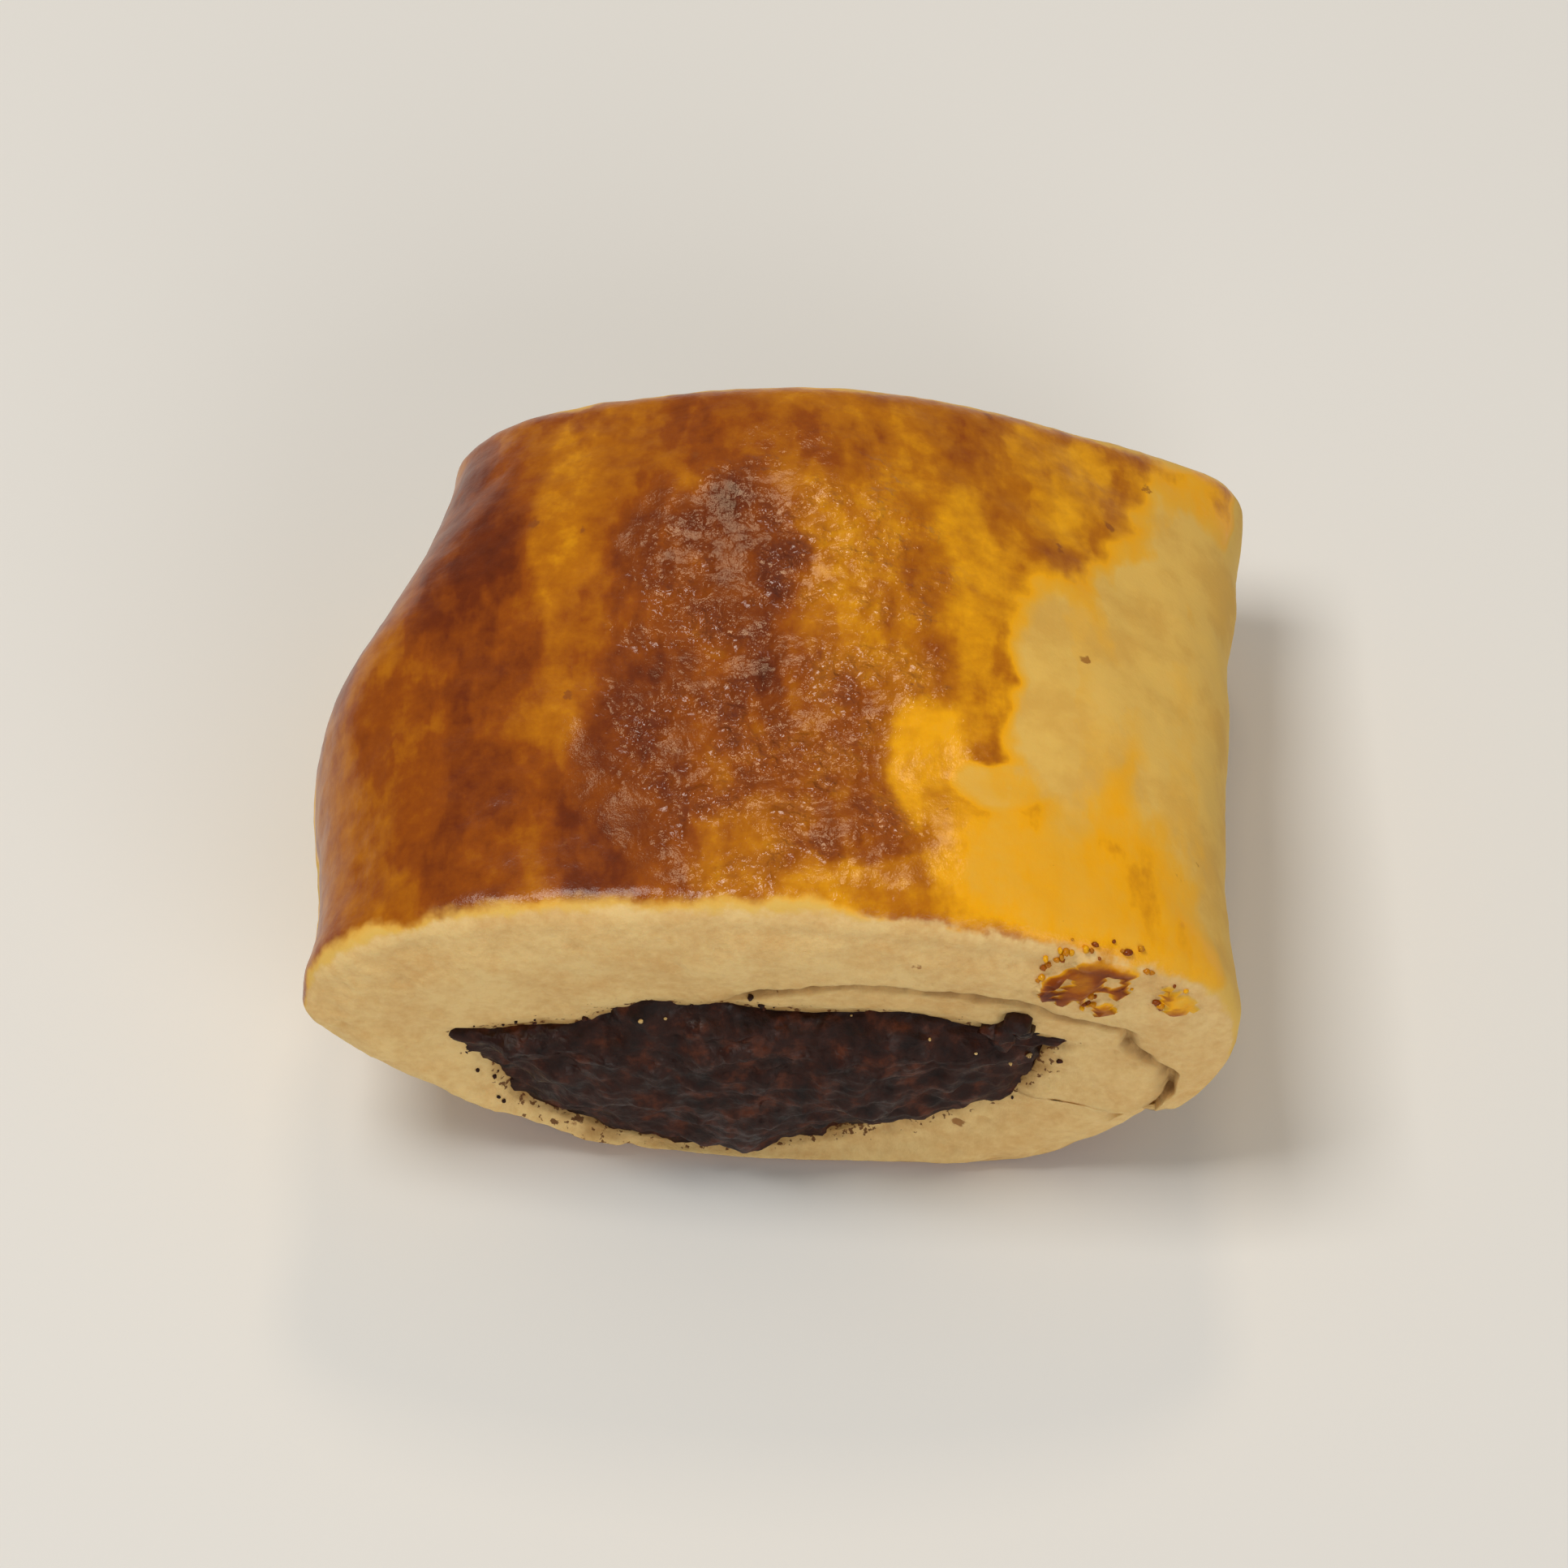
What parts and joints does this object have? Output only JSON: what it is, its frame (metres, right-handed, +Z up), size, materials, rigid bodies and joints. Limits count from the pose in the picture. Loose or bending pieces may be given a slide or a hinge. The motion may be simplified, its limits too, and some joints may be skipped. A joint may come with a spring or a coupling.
{
  "type": "date-filled biscuit",
  "caption": "Short pillow-shaped length of a filled and rolled biscuit: glazed dough wrapped round a core of date paste that shows at both cut ends.",
  "frame": {"origin": "middle of the whole piece in plan, on the surface that it rests on", "axes": "+X across the roll to the right as seen from the front cut, +Y along the roll from the front cut to the back cut, +Z up"},
  "size_m": [0.042, 0.0328, 0.0212],
  "materials": {
    "glazed_dough": "baked dough, egg-washed and browned on top, pale cream on the flanks and cut faces",
    "date_paste": "moist, lumpy, nearly black brown date paste"
  },
  "bodies": {
    "root": {"dough": "glazed_dough", "date_filling": "date_paste"}
  },
  "joints": []
}
